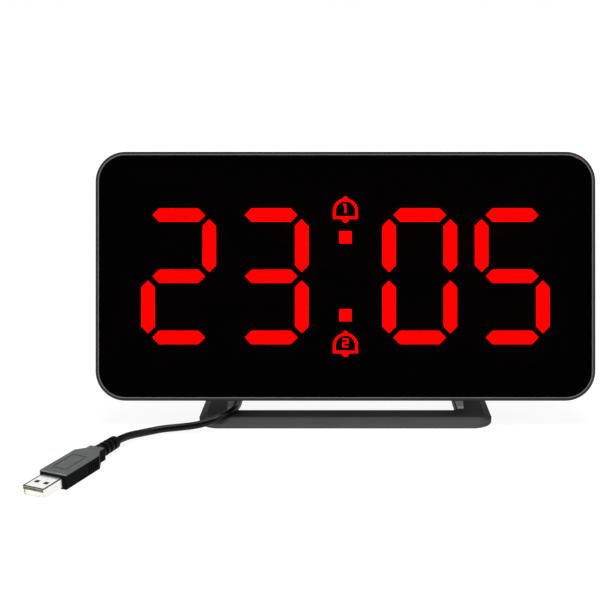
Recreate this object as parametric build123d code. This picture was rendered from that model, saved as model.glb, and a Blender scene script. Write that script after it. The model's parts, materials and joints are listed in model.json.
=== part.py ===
# Digital LED desk clock: a slim leaning head on a flat loop stand, with a lead and a plug.
# Millimetres, +Z up, face towards -Y, origin on the desk under the middle of the stand.
import math
import os

from build123d import *

# Head outline and lean
body_width = 272.8
body_height = 136.0
corner_radius = 16.4
lean_angle = 15.0
face_setback = 5.0
face_clearance = 14.2

# Front frame and window
frame_depth = 12.0
wall = 2.2
rim_width = 2.0
rim_round = 1.3
ledge_width = 3.0
ledge_thickness = 1.6
lens_recess = 0.3
lens_thickness = 2.0
lens_gap = 0.15
tape_thickness = 0.3
seat_gap = 0.3

# Display
mask_depth = 6.4
flange_thickness = 1.6
insert_depth = 3.0
digit_side_margin = 28.575
digit_top_margin = 34.55
digit_gap = 17.05
colon_space = 23.875
segment_width = 7.25
segment_tip_gap = 2.4
dot_size = 6.6
dot_row_gap = 12.15
icon_high_lift = 2.15
icon_low_drop = 4.35
icon_half_width = 6.8
icon_side_height = 4.3
icon_stroke = 1.4
icon_knob_radius = 1.2
icon_clapper_radius = 1.9
numeral_height = 4.9
numeral_stroke = 0.8
numeral_width = 3.2
numeral_lift = 1.4
icon_light_radius = 1.5
led_length = 3.2
led_width = 1.6
led_height = 0.9
led_spacing = 12.0

# Boards and what they carry
board_thickness = 1.6
main_board_width = 150.0
main_board_height = 52.0
main_board_drop = 52.0
board_space = 2.7
link_width = 40.0
link_height = 5.0
chip_size = 12.0
chip_height = 1.8
chip_x = -12.0
chip_drop = 10.0
crystal_length = 8.0
crystal_radius = 1.5
crystal_gap = 3.0
buzzer_radius = 6.0
buzzer_height = 8.2
buzzer_hole_radius = 1.5
buzzer_inset = 23.0
buzzer_drop = 12.0
sound_slot_width = 1.5
sound_slot_length = 10.0
sound_slot_pitch = 3.2
sound_slot_count = 5
cell_radius = 10.0
cell_thickness = 3.2
cell_inset = 27.0
cell_drop = 12.0
holder_wall = 1.5
holder_floor = 0.8
cell_gap = 0.1

# Rear cover
rim_plate = 2.2
back_depth = 11.8
back_inset = 8.0
back_slope = 6.0
back_corner = 13.0
back_round = 2.4
rim_edge = 0.8
seam_width = 0.4
seam_depth = 0.35
alignment_lip = 1.4
lip_thickness = 1.2
case_screw_inset = 7.5
case_boss_radius = 3.4
case_screw_radius = 1.1
case_head_radius = 2.3
case_head_height = 1.4
case_screw_length = 6.3
cross_length = 2.6
cross_width = 0.7
cross_depth = 0.8
screw_gap = 0.3
board_screw_radius = 1.0
board_head_radius = 1.9
board_head_height = 1.3
board_screw_length = 6.0
post_radius = 3.2
led_screw_inset = 16.0
led_screw_drop = 23.0
post_inset = 5.0

# Buttons and their switches
button_count = 4
button_spacing = 30.0
button_lift = 14.0
button_radius = 4.5
button_proud = 1.2
button_gap = 0.3
button_flange = 1.7
button_flange_thickness = 1.2
button_stem_radius = 1.5
button_travel = 0.6
button_edge = 0.5
switch_size = 6.0
switch_height = 5.0
switch_bore_gap = 0.3
switch_over_travel = 0.5
stem_engagement = 0.4

# Battery door
door_cell_room = 2.0
door_corner = 3.0
door_lip = 1.2
door_ledge = 2.0
door_gap = 0.3
door_plug_wall = 1.6
door_cell_gap = 0.6
door_notch_length = 10.0
door_notch_width = 1.6
door_notch_depth = 0.6

# Tilt hinge
hinge_rise = 20.0
hinge_standoff = 5.0
ear_thickness = 3.5
ear_round = 4.6
ear_edge = 0.65
lug_thickness = 3.0
washer_thickness = 0.5
washer_radius = 4.0
washer_gap = 0.1
pin_radius = 1.5
pin_fit = 0.05
pin_head_radius = 2.6
pin_head_thickness = 1.2

# Stand
base_width = 161.8
base_depth = 72.0
base_thickness = 4.3
base_corner = 12.0
side_slope = 4.0
arm_width = 18.85
front_bar = 16.5
rear_bar = 14.0
window_corner = 1.5
lip_depth = 5.7
lip_edge = 2.4
ear_toe = 18.0
ear_heel = 20.0
ear_toe_height = 1.5
ear_knee_drop = 9.5
pad_radius = 5.0
pad_thickness = 1.0
pad_proud = 0.2
pad_inset = 9.5

# Lead, gland and plug
lead_diameter = 4.0
lead_stub_length = 8.0
lead_arc_share = 0.45
gland_x = -6.0
gland_length = 13.0
gland_collar = 1.5
gland_collar_radius = 4.6
gland_root_radius = 3.8
gland_tip_radius = 2.5
gland_stem = 6.0
gland_groove_count = 4
gland_groove_width = 1.0
gland_groove_depth = 0.45
hood_radius = 5.4
hood_length = 20.0
hood_wall = 6.0
tail_x = 6.0
tail_bend = 4.0
tail_hole_radius = 3.0
socket_width = 8.0
socket_depth = 6.0
socket_height = 10.0
plug_heading = 67.6
plug_front = (-136.9, -108.2)
mould_width = 15.4
mould_height = 8.0
mould_length = 24.6
mould_taper = 5.0
mould_neck_width = 9.4
mould_neck_height = 6.8
mould_neck_length = 4.0
mould_edge = 0.9
panel_length = 16.0
panel_width = 8.6
panel_line = 0.6
panel_depth = 0.35
grip_count = 5
grip_pitch = 1.6
grip_width = 0.8
grip_depth = 0.4
grip_height = 4.4
boot_length = 14.5
boot_root_radius = 3.7
boot_tip_radius = 3.4
boot_rib_count = 3
boot_rib_gap = 1.6
boot_rib_depth = 0.9
shell_width = 12.0
shell_height = 4.5
shell_length = 14.0
shell_wall = 0.35
shell_window = 2.4
shell_window_spread = 2.6
shell_window_set = 6.0
tongue_height = 1.9
tongue_set = 0.8
contact_width = 1.1
contact_height = 0.25
contact_length = 8.0
contact_pitch = 2.4
contact_count = 4

# Places along the head's depth, from the face back
lens_front = lens_recess
lens_back = lens_front + lens_thickness
ledge_front = lens_back + tape_thickness
ledge_back = ledge_front + ledge_thickness
mask_back = lens_back + mask_depth
led_board_back = mask_back + board_thickness
main_board_front = led_board_back + board_space
main_board_back = main_board_front + board_thickness
cover_front = frame_depth
rim_back = cover_front + rim_plate
back_face = rim_back + back_depth
back_inside = back_face - wall
hinge_depth = back_face + hinge_standoff

# Places across the head
middle = body_height / 2
inside_width = body_width - 2 * wall
inside_height = body_height - 2 * wall
inside_radius = corner_radius - wall
pocket_width = body_width - 2 * rim_width
pocket_height = body_height - 2 * rim_width
pocket_radius = corner_radius - rim_width
opening_width = pocket_width - 2 * ledge_width
opening_height = pocket_height - 2 * ledge_width
opening_radius = pocket_radius - ledge_width
case_screw_x = body_width / 2 - case_screw_inset
case_screw_v = body_height / 2 - case_screw_inset
led_screw_x = body_width / 2 - led_screw_inset
led_screw_rise = middle - led_screw_drop
main_board_rise = body_height - main_board_drop
cell_x = main_board_width / 2 - cell_inset
buzzer_x = buzzer_inset - main_board_width / 2
button_rise = main_board_rise + button_lift
switch_bore_depth = stem_engagement + button_travel + switch_over_travel
button_places = [(i - (button_count - 1) / 2) * button_spacing for i in range(button_count)]

# Places of the digits, dots and icons: centrelines of the segments between the margins
digit_width = (body_width / 2 - digit_side_margin - digit_gap - colon_space) / 2
digit_rise = middle - digit_top_margin
digit_offset = colon_space + digit_width / 2
digit_pitch = digit_width + digit_gap
dot_offset = digit_rise - dot_row_gap
digit_centres = [
    -digit_offset - digit_pitch,
    -digit_offset,
    digit_offset,
    digit_offset + digit_pitch,
]

# Places of the stand and the head in the part's frame
base_bottom = pad_proud
base_top = base_bottom + base_thickness
front_edge = -base_depth / 2
head_y = front_edge + face_setback
head_place = Pos(0, head_y, face_clearance) * Rot(-lean_angle, 0, 0)
lean = math.radians(lean_angle)
hinge_y = head_y + hinge_rise * math.sin(lean) + hinge_depth * math.cos(lean)
hinge_z = face_clearance + hinge_rise * math.cos(lean) - hinge_depth * math.sin(lean)
ear_x = base_width / 2 - arm_width + ear_edge + ear_thickness / 2
lug_face = ear_thickness / 2 + washer_gap + washer_thickness


# A drawing plane parallel to the face, at a depth behind it: x runs right, y up the face
def face_plane(depth):
    return Plane(origin=(0, depth, 0), x_dir=(1, 0, 0), z_dir=(0, -1, 0))


# A slab drawn on the face plane and thickened towards the back
def slab(sketch, depth, thickness):
    return extrude(face_plane(depth) * sketch, amount=-thickness)


# A rounded rectangle about the middle of the face
def panel(width, height, radius):
    return Pos(0, middle) * RectangleRounded(width, height, radius)


# A round bar square to the face
def peg(x, rise, radius, depth, length):
    return slab(Pos(x, rise) * Circle(radius), depth, length)


# A round bar along the hinge axis, from one x to another
def axle(radius, x_from, x_to):
    bar = Rot(0, 90, 0) * Cylinder(radius, x_to - x_from)
    return Pos((x_from + x_to) / 2, hinge_depth, hinge_rise) * bar


# A tapered back shell shape between the rim and a depth, drawn in by a wall
def back_form(draw_in, depth_end):
    slope = back_slope * (depth_end - rim_back) / back_depth
    root_width = body_width - 2 * (back_inset + draw_in)
    root_height = body_height - 2 * (back_inset + draw_in)
    root = panel(root_width, root_height, back_corner - draw_in)
    tip = panel(root_width - 2 * slope, root_height - 2 * slope, back_corner - draw_in - slope / 2)
    return loft([face_plane(rim_back) * root, face_plane(depth_end) * tip], ruled=True)


# One display segment: a bar with pointed ends
def segment(upright):
    tip = (digit_rise if upright else digit_width) / 2 - segment_tip_gap
    side = segment_width / 2
    outline = Polygon(
        (-tip, 0), (side - tip, -side), (tip - side, -side),
        (tip, 0), (tip - side, side), (side - tip, side), align=None,
    )
    return Rot(0, 0, 90) * outline if upright else outline


# Segment centres of a digit, lettered a to g, with whether each stands upright
segment_places = {
    "a": (0, digit_rise, False),
    "b": (digit_width / 2, digit_rise / 2, True),
    "c": (digit_width / 2, -digit_rise / 2, True),
    "d": (0, -digit_rise, False),
    "e": (-digit_width / 2, -digit_rise / 2, True),
    "f": (-digit_width / 2, digit_rise / 2, True),
    "g": (0, 0, False),
}
digits_shown = {
    "hour_tens": (digit_centres[0], "abged"),
    "hour_units": (digit_centres[1], "abcdg"),
    "minute_tens": (digit_centres[2], "abcdef"),
    "minute_units": (digit_centres[3], "afgcd"),
}


# A segment's outline where it lies on the face
def placed_segment(letter, digit_x):
    x, rise, upright = segment_places[letter]
    return Pos(digit_x + x, middle + rise) * segment(upright)


# Outline of an alarm bell: an arch with a knob, a bar below and a clapper
def bell_outline():
    inner = icon_half_width - icon_stroke
    outer_form = Circle(icon_half_width) + Pos(0, -icon_side_height / 2) * Rectangle(
        2 * icon_half_width, icon_side_height
    )
    outer_form -= Pos(0, -icon_side_height - icon_half_width) * Rectangle(
        2 * icon_half_width, 2 * icon_half_width
    )
    inner_sides = icon_side_height - icon_stroke
    inner_form = Circle(inner) & Pos(0, inner / 2) * Rectangle(2 * inner, inner)
    inner_form += Pos(0, -inner_sides / 2) * Rectangle(2 * inner, inner_sides)
    knob = Pos(0, icon_half_width) * Circle(icon_knob_radius)
    clapper = Pos(0, -icon_side_height) * Circle(icon_clapper_radius)
    return outer_form + knob + clapper - inner_form


# The plain numerals inside the bells, as strokes on a seven-bar grid
def numeral_outline(number):
    half = numeral_height / 2
    side = numeral_width / 2
    stroke = numeral_stroke
    stem = Rectangle(stroke, numeral_height)
    if number == 1:
        flag = Pos(-stroke, half - stroke / 2) * Rectangle(stroke, stroke)
        return stem + flag
    bars = Rectangle(numeral_width, stroke)
    for rise in (half - stroke / 2, stroke / 2 - half):
        bars += Pos(0, rise) * Rectangle(numeral_width, stroke)
    upper = Pos(side - stroke / 2, half / 2) * Rectangle(stroke, half)
    lower = Pos(stroke / 2 - side, -half / 2) * Rectangle(stroke, half)
    return bars + upper + lower


icons = {
    "alarm_1_icon": (1, middle + digit_rise + icon_high_lift),
    "alarm_2_icon": (2, middle - digit_rise - icon_low_drop),
}

parts = {}


# Keep a piece of the head, placed on the lean
def keep_head(name, *solids):
    pieces = [head_place * solid for solid in solids]
    parts[name] = pieces[0] if len(pieces) == 1 else Compound(children=pieces)


# Keep a piece that is drawn in the part's own frame
def keep(name, *solids):
    parts[name] = solids[0] if len(solids) == 1 else Compound(children=list(solids))


# Front frame: a rim with a ledge behind the window and bosses for the case screws
frame = slab(panel(body_width, body_height, corner_radius), 0, frame_depth)
frame = fillet(frame.faces().sort_by(Axis.Y)[0].outer_wire().edges(), rim_round)
frame -= slab(panel(pocket_width, pocket_height, pocket_radius), 0, ledge_front)
frame -= slab(panel(opening_width, opening_height, opening_radius), 0, frame_depth)
frame -= slab(panel(inside_width, inside_height, inside_radius), ledge_back, frame_depth - ledge_back)
case_screw_spots = [
    (side * case_screw_x, middle + level * case_screw_v) for side in (-1, 1) for level in (-1, 1)
]
case_head_seat = rim_back - case_head_height
case_pilot = case_head_seat - case_screw_length
for x, rise in case_screw_spots:
    frame += peg(x, rise, case_boss_radius, ledge_back, frame_depth - ledge_back)
for x, rise in case_screw_spots:
    frame -= peg(x, rise, case_screw_radius, case_pilot, frame_depth - case_pilot)
frame &= slab(panel(body_width, body_height, corner_radius), 0, frame_depth)
keep_head("bezel_frame", frame)

# Window and the tape that holds it on the ledge
lens_inset = 2 * lens_gap
lens = slab(
    panel(pocket_width - lens_inset, pocket_height - lens_inset, pocket_radius - lens_gap),
    lens_front, lens_thickness,
)
keep_head("front_lens", lens)
tape = panel(pocket_width - 2 * seat_gap, pocket_height - 2 * seat_gap, pocket_radius - seat_gap)
tape -= panel(opening_width, opening_height, opening_radius)
keep_head("lens_tape", slab(tape, lens_back, tape_thickness))

# Light mask: a block behind the window with a light well for each segment, dot and icon
board_width = inside_width - 2 * seat_gap
board_height = inside_height - 2 * seat_gap
board_radius = inside_radius - seat_gap
mask = slab(
    panel(opening_width - 2 * seat_gap, opening_height - 2 * seat_gap, opening_radius - seat_gap),
    lens_back, mask_depth,
)
mask += slab(panel(board_width, board_height, board_radius), ledge_back, flange_thickness)
boss_notches = [
    peg(x, rise, case_boss_radius + seat_gap, ledge_back, frame_depth - ledge_back)
    for x, rise in case_screw_spots
]
for notch in boss_notches:
    mask -= notch
well_outlines = [
    placed_segment(letter, digit_x)
    for digit_x, _ in digits_shown.values()
    for letter in segment_places
]
dot_outlines = [
    Pos(0, middle + level * dot_offset) * Rectangle(dot_size, dot_size) for level in (-1, 1)
]
for outline in well_outlines + dot_outlines:
    mask -= slab(outline, lens_back, mask_depth)
icon_lights = []
for number, rise in icons.values():
    mask -= slab(Pos(0, rise) * bell_outline(), lens_back, insert_depth)
    mask -= slab(Pos(0, rise + numeral_lift) * numeral_outline(number), lens_back, insert_depth)
    light_rise = rise - icon_side_height
    icon_lights.append(light_rise)
    mask -= peg(0, light_rise, icon_light_radius, lens_back, mask_depth)
led_screw_spots = [
    (side * led_screw_x, middle + level * led_screw_rise) for side in (-1, 1) for level in (-1, 1)
]
led_screw_spots += [(side * (digit_offset + digit_pitch / 2), middle) for side in (-1, 1)]
led_pilot = led_board_back - board_screw_length
for x, rise in led_screw_spots:
    mask -= peg(x, rise, board_screw_radius, led_pilot, board_screw_length)
keep_head("display_mask", mask)

# Light guides in the wells, lit and unlit ones apart
for name, (digit_x, lit) in digits_shown.items():
    guides = {
        letter: slab(placed_segment(letter, digit_x), lens_back, insert_depth)
        for letter in segment_places
    }
    keep_head(name + "_lit", *[guides[letter] for letter in lit])
    keep_head(name + "_unlit", *[guides[letter] for letter in guides if letter not in lit])
keep_head("colon_dots", *[slab(outline, lens_back, insert_depth) for outline in dot_outlines])
for name, (number, rise) in icons.items():
    bell = slab(Pos(0, rise) * bell_outline(), lens_back, insert_depth)
    numeral = slab(Pos(0, rise + numeral_lift) * numeral_outline(number), lens_back, insert_depth)
    keep_head(name, bell, numeral)

# Display board with its light sources and screws
led_board = slab(panel(board_width, board_height, board_radius), mask_back, board_thickness)
for notch in boss_notches:
    led_board -= notch
for x, rise in led_screw_spots:
    led_board -= peg(x, rise, board_screw_radius, mask_back, board_thickness)
keep_head("led_board", led_board)
led_front = mask_back - led_height
leds = []
for digit_x, _ in digits_shown.values():
    for x, rise, upright in segment_places.values():
        for side in (-1, 1):
            along = side * led_spacing / 2
            chip = Rectangle(led_width, led_length) if upright else Rectangle(led_length, led_width)
            shift = (0, along) if upright else (along, 0)
            place = Pos(digit_x + x + shift[0], middle + rise + shift[1])
            leds.append(slab(place * chip, led_front, led_height))
for level in (-1, 1):
    chip = Pos(0, middle + level * dot_offset) * Rectangle(led_length, led_width)
    leds.append(slab(chip, led_front, led_height))
for rise in icon_lights:
    chip = Pos(0, rise) * Rectangle(led_width, led_width)
    leds.append(slab(chip, led_front, led_height))
keep_head("segment_leds", *leds)


# A board screw from the back or the front: a head on the board and a shank through it
def board_screw(x, rise, head_from, shank_from):
    head = peg(x, rise, board_head_radius, head_from, board_head_height)
    return head + peg(x, rise, board_screw_radius, shank_from, board_screw_length)


led_screws = [board_screw(x, rise, led_board_back, led_pilot) for x, rise in led_screw_spots]
keep_head("led_board_screws", *led_screws)

# Main board with its parts, facing the rear cover
main_outline = Pos(0, main_board_rise) * Rectangle(main_board_width, main_board_height)
main_board = slab(main_outline, main_board_front, board_thickness)
post_x = main_board_width / 2 - post_inset
post_v = main_board_height / 2 - post_inset
post_spots = [
    (side * post_x, main_board_rise + level * post_v) for side in (-1, 1) for level in (-1, 1)
]
for x, rise in post_spots:
    main_board -= peg(x, rise, board_screw_radius, main_board_front, board_thickness)
keep_head("main_board", main_board)
main_screw_head = main_board_front - board_head_height
main_screws = [board_screw(x, rise, main_screw_head, main_board_front) for x, rise in post_spots]
keep_head("main_board_screws", *main_screws)
link_rise = main_board_rise - main_board_height / 2 + link_height
link = Pos(0, link_rise) * Rectangle(link_width, link_height)
keep_head("board_link", slab(link, led_board_back, board_space))
chip_rise = main_board_rise - chip_drop
chip = Pos(chip_x, chip_rise) * Rectangle(chip_size, chip_size)
keep_head("clock_chip", slab(chip, main_board_back, chip_height))
crystal = Rot(0, 90, 0) * Cylinder(crystal_radius, crystal_length)
crystal_rise = chip_rise - chip_size / 2 - crystal_gap
crystal_place = Pos(chip_x, main_board_back + crystal_radius, crystal_rise)
keep_head("time_crystal", crystal_place * crystal)
buzzer_rise = main_board_rise - buzzer_drop
buzzer = peg(buzzer_x, buzzer_rise, buzzer_radius, main_board_back, buzzer_height)
buzzer_middle = main_board_back + buzzer_height / 2
sound_hole = peg(buzzer_x, buzzer_rise, buzzer_hole_radius, buzzer_middle, buzzer_height)
keep_head("alarm_buzzer", buzzer - sound_hole)

# Tact switches, each with a well for its button's stem
switch_back = main_board_back + switch_height
switch_outline = Rectangle(switch_size, switch_size)
switch_bore = button_stem_radius + switch_bore_gap
switches = []
for x in button_places:
    block = slab(Pos(x, button_rise) * switch_outline, main_board_back, switch_height)
    well = peg(x, button_rise, switch_bore, switch_back - switch_bore_depth, switch_bore_depth)
    switches.append(block - well)
keep_head("tact_switches", *switches)

# Backup cell in its holder
cell_rise = main_board_rise - cell_drop
cell_front = main_board_back + holder_floor
cell_back = cell_front + cell_thickness
holder_radius = cell_radius + cell_gap + holder_wall
holder = peg(cell_x, cell_rise, holder_radius, main_board_back, holder_floor + cell_thickness)
holder -= peg(cell_x, cell_rise, cell_radius + cell_gap, cell_front, cell_thickness)
keep_head("cell_holder", holder)
keep_head("backup_cell", peg(cell_x, cell_rise, cell_radius, cell_front, cell_thickness))

# Rear cover: a rim plate, a tapered shell, posts, hinge lugs and the lead's hood
rim_outline = panel(body_width, body_height, corner_radius)
seam_outline = panel(body_width - 2 * seam_depth, body_height - 2 * seam_depth, corner_radius - seam_depth)
cover = slab(rim_outline, cover_front, rim_plate)
cover = fillet(cover.faces().sort_by(Axis.Y)[-1].edges(), rim_edge)
cover -= slab(rim_outline - seam_outline, cover_front, seam_width)
back_shell = back_form(0, back_face)
cover += fillet(back_shell.faces().sort_by(Axis.Y)[-1].edges(), back_round)
lip_outer = panel(board_width, board_height, board_radius)
lip_inner_width = board_width - 2 * lip_thickness
lip_inner_height = board_height - 2 * lip_thickness
lip_inner = panel(lip_inner_width, lip_inner_height, board_radius - lip_thickness)
cover += slab(lip_outer - lip_inner, cover_front - alignment_lip, alignment_lip)
for notch in boss_notches:
    cover -= notch
inner_root = panel(
    body_width - 2 * (back_inset + wall), body_height - 2 * (back_inset + wall), back_corner - wall
)
cover -= slab(inner_root, cover_front, rim_plate)
cover -= back_form(wall, back_inside)
for x, rise in post_spots:
    cover += peg(x, rise, post_radius, main_board_back, back_inside - main_board_back)
    pilot_length = board_screw_length - board_thickness
    cover -= peg(x, rise, board_screw_radius, main_board_back, pilot_length)
for x, rise in case_screw_spots:
    cover -= peg(x, rise, case_screw_radius + screw_gap, cover_front, rim_plate)
    cover -= peg(x, rise, case_head_radius + screw_gap, case_head_seat, case_head_height)
for x in button_places:
    cover -= peg(x, button_rise, button_radius + button_gap, back_inside, wall)
slot = Rectangle(sound_slot_width, sound_slot_length)
for i in range(sound_slot_count):
    shift = (i - (sound_slot_count - 1) / 2) * sound_slot_pitch
    cover -= slab(Pos(buzzer_x + shift, buzzer_rise) * slot, back_inside, wall)
door_seat = back_face - door_lip
door_hole_size = 2 * (cell_radius + door_cell_room)
door_size = door_hole_size + 2 * door_ledge
door_spot = Pos(cell_x, cell_rise)
door_hole = door_spot * RectangleRounded(door_hole_size, door_hole_size, door_corner - door_ledge / 2)
cover -= slab(door_hole, back_inside, wall)
cover -= slab(door_spot * RectangleRounded(door_size, door_size, door_corner), door_seat, door_lip)

# Hinge lugs, a pair for each ear of the stand
lug_root = back_face - wall / 2
lug = Pos(hinge_depth, hinge_rise) * Circle(ear_round)
lug += Pos((lug_root + hinge_depth) / 2, hinge_rise) * Rectangle(hinge_depth - lug_root, 2 * ear_round)
lug_centre = lug_face + lug_thickness / 2
for side in (-1, 1):
    for face in (-1, 1):
        lug_x = side * ear_x + face * lug_centre
        cover += Pos(lug_x, 0, 0) * extrude(Plane.YZ * lug, amount=lug_thickness / 2, both=True)
    pin_span = lug_face + lug_thickness
    cover -= axle(pin_radius + pin_fit, side * ear_x - pin_span, side * ear_x + pin_span)

# Hood over the lead's way in, on the hinge axis
lead_radius = lead_diameter / 2
hood_end = gland_x + hood_length
hood_root = back_face - hood_wall
hood = Pos(hinge_depth, hinge_rise) * Circle(hood_radius)
hood += Pos((hood_root + hinge_depth) / 2, hinge_rise) * Rectangle(hinge_depth - hood_root, 2 * hood_radius)
hood_middle = (gland_x + hood_end) / 2
cover += Pos(hood_middle, 0, 0) * extrude(Plane.YZ * hood, amount=hood_length / 2, both=True)
cover -= axle(gland_tip_radius, gland_x, tail_x + lead_radius + pin_fit)
cover -= peg(tail_x, hinge_rise, tail_hole_radius, hood_root - wall, hinge_depth - hood_root + wall)
keep_head("rear_cover", cover)

cross = Rectangle(cross_length, cross_width) + Rectangle(cross_width, cross_length)
case_screws = [
    peg(x, rise, case_head_radius, case_head_seat, case_head_height)
    + peg(x, rise, case_screw_radius, case_pilot, case_screw_length)
    - slab(Pos(x, rise) * cross, rim_back - cross_depth, cross_depth)
    for x, rise in case_screw_spots
]
keep_head("case_screws", *case_screws)

# Buttons: a cap through the cover, a flange that holds it in and a stem to its switch
button_names = ["set_button", "up_button", "down_button", "alarm_button"]
flange_front = back_inside - button_gap - button_flange_thickness
stem_front = switch_back - stem_engagement
for name, x in zip(button_names, button_places):
    cap = peg(x, button_rise, button_radius, flange_front, back_face + button_proud - flange_front)
    cap = chamfer(cap.faces().sort_by(Axis.Y)[-1].edges(), button_edge)
    cap += peg(x, button_rise, button_radius + button_flange, flange_front, button_flange_thickness)
    cap += peg(x, button_rise, button_stem_radius, stem_front, flange_front - stem_front)
    keep_head(name, cap)

# Battery door: a plate on the cover's ledge with a ring behind it that keeps the cell in
door_side = door_size - 2 * door_gap
door = slab(door_spot * RectangleRounded(door_side, door_side, door_corner - door_gap), door_seat, door_lip)
ring_side = door_hole_size - 2 * door_gap
ring_hole = ring_side - 2 * door_plug_wall
ring = RectangleRounded(ring_side, ring_side, door_corner - door_ledge / 2)
ring -= Rectangle(ring_hole, ring_hole)
ring_front = cell_back + door_cell_gap
door += slab(door_spot * ring, ring_front, door_seat - ring_front)
grip_notch = Pos(cell_x, cell_rise + door_side / 2 - door_plug_wall - door_notch_width)
grip_notch *= Rectangle(door_notch_length, door_notch_width)
door -= slab(grip_notch, back_face - door_notch_depth, door_notch_depth)
keep_head("battery_door", door)

# Hinge pins and the spring washers that hold the tilt
pins = []
washers = []
for side in (-1, 1):
    outer = side * ear_x + side * (lug_face + lug_thickness)
    inner = side * ear_x - side * (lug_face + lug_thickness)
    head_end = outer + side * pin_head_thickness
    shank = axle(pin_radius, min(inner, outer), max(inner, outer))
    pins.append(shank + axle(pin_head_radius, min(outer, head_end), max(outer, head_end)))
    for face in (-1, 1):
        near = side * ear_x + face * (ear_thickness / 2 + washer_gap)
        far = near + face * washer_thickness
        disc = axle(washer_radius, min(near, far), max(near, far))
        washers.append(disc - axle(pin_radius + pin_fit, min(near, far), max(near, far)))
keep_head("hinge_pins", *pins)
keep_head("friction_washers", *washers)

# Gland on the hinge axis, with the lead's tail through it to the socket on the main board
gland_tip = gland_x - gland_length
collar_end = gland_x - gland_collar
cone_length = collar_end - gland_tip
cone = Rot(0, -90, 0) * Cone(gland_root_radius, gland_tip_radius, cone_length)
gland = Pos((gland_tip + collar_end) / 2, hinge_depth, hinge_rise) * cone
groove_pitch = cone_length / (gland_groove_count + 1)
for i in range(gland_groove_count):
    groove_x = collar_end - groove_pitch * (i + 1)
    skin = gland_root_radius + (gland_tip_radius - gland_root_radius) * (i + 1) / (gland_groove_count + 1)
    half = gland_groove_width / 2
    groove = axle(gland_root_radius, groove_x - half, groove_x + half)
    gland -= groove - axle(skin - gland_groove_depth, groove_x - half, groove_x + half)
gland += axle(gland_collar_radius, collar_end, gland_x)
gland += axle(gland_tip_radius, gland_x, gland_x + gland_stem)
gland -= axle(lead_radius, gland_tip, gland_x + gland_stem)
keep_head("lead_gland", gland)
tail_way = main_board_back + socket_depth / 2
socket_foot = main_board_rise - main_board_height / 2
tail_path = FilletPolyline(
    (gland_tip, hinge_depth, hinge_rise),
    (tail_x, hinge_depth, hinge_rise),
    (tail_x, tail_way, hinge_rise),
    (tail_x, tail_way, socket_foot),
    radius=tail_bend,
)
tail = sweep(Plane(origin=tail_path @ 0, z_dir=tail_path % 0) * Circle(lead_radius), path=tail_path)
keep_head("lead_tail", tail)
socket = Pos(tail_x, socket_foot + socket_height / 2) * Rectangle(socket_width, socket_height)
keep_head("lead_socket", slab(socket, main_board_back, socket_depth))

# Stand: a flat loop with sloping edges, a deeper slope at the front and two hinge ears
base_outline = RectangleRounded(base_width, base_depth, base_corner)
top_outline = RectangleRounded(
    base_width - 2 * side_slope, base_depth - 2 * side_slope, base_corner - side_slope
)
base = Pos(0, 0, base_bottom) * extrude(base_outline, amount=lip_edge)
base += loft([
    Pos(0, 0, base_bottom + lip_edge) * base_outline, Pos(0, 0, base_top) * top_outline,
], ruled=True)
window_front = front_edge + front_bar
window_back = base_depth / 2 - rear_bar
window_side = base_width - 2 * arm_width
window = RectangleRounded(window_side, window_back - window_front, window_corner)
window_middle = (window_front + window_back) / 2
base -= Pos(0, window_middle, base_bottom) * extrude(window, amount=base_thickness)
lip_cut = Polygon(
    (front_edge, base_bottom + lip_edge), (front_edge + lip_depth, base_top),
    (front_edge, base_top), align=None,
)
base -= extrude(Plane.YZ * lip_cut, amount=base_width / 2, both=True)
ear = Pos(hinge_y, hinge_z) * Circle(ear_round)
ear += Polygon(
    (-ear_toe, base_bottom), (-ear_toe, base_top + ear_toe_height),
    (hinge_y - ear_round, hinge_z - ear_knee_drop), (hinge_y - ear_round, hinge_z),
    (hinge_y + ear_round, hinge_z), (ear_heel, base_bottom), align=None,
)
ear -= Pos(hinge_y, hinge_z) * Circle(pin_radius + pin_fit)
for side in (-1, 1):
    base += Pos(side * ear_x, 0, 0) * extrude(Plane.YZ * ear, amount=ear_thickness / 2, both=True)
pad_spots = [
    (side * (base_width / 2 - pad_inset), level * (base_depth / 2 - pad_inset))
    for side in (-1, 1) for level in (-1, 1)
]
pads = [
    Pos(x, y, pad_thickness / 2) * Cylinder(pad_radius, pad_thickness) for x, y in pad_spots
]
for pad in pads:
    base -= pad
keep("stand_base", base)
keep("foot_pads", *pads)

# Plug, lying on the desk: its frame has x from the nose towards the lead, z up
plug_centre_z = mould_height / 2
plug_place = Pos(plug_front[0], plug_front[1], plug_centre_z) * Rot(0, 0, plug_heading)


# A cross-section of the plug, square to its length
def plug_section(along, width, height):
    return Plane(origin=(along, 0, 0), x_dir=(0, 1, 0), z_dir=(1, 0, 0)) * Rectangle(width, height)


taper_end = mould_length + mould_taper
neck_end = taper_end + mould_neck_length
mould = extrude(plug_section(0, mould_width, mould_height), amount=mould_length)
mould += loft([
    plug_section(mould_length, mould_width, mould_height),
    plug_section(taper_end, mould_neck_width, mould_neck_height),
], ruled=True)
mould += extrude(plug_section(taper_end, mould_neck_width, mould_neck_height), amount=mould_neck_length)
long_edges = mould.edges().filter_by(Axis.X)
mould = fillet(long_edges, mould_edge)
panel_frame = Rectangle(panel_length, panel_width)
panel_frame -= Rectangle(panel_length - 2 * panel_line, panel_width - 2 * panel_line)
panel_cut = extrude(panel_frame, amount=panel_depth)
mould -= Pos(mould_length / 2, 0, mould_height / 2 - panel_depth) * panel_cut
for i in range(grip_count):
    along = mould_length - grip_pitch * (i + 1)
    for side in (-1, 1):
        groove = Box(grip_width, 2 * grip_depth, grip_height)
        mould -= Pos(along, side * mould_width / 2, 0) * groove
keep("plug_overmould", plug_place * mould)
boot_end = neck_end + boot_length
boot = Pos(neck_end + boot_length / 2, 0, 0) * (
    Rot(0, 90, 0) * Cone(boot_root_radius, boot_tip_radius, boot_length)
)
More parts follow.
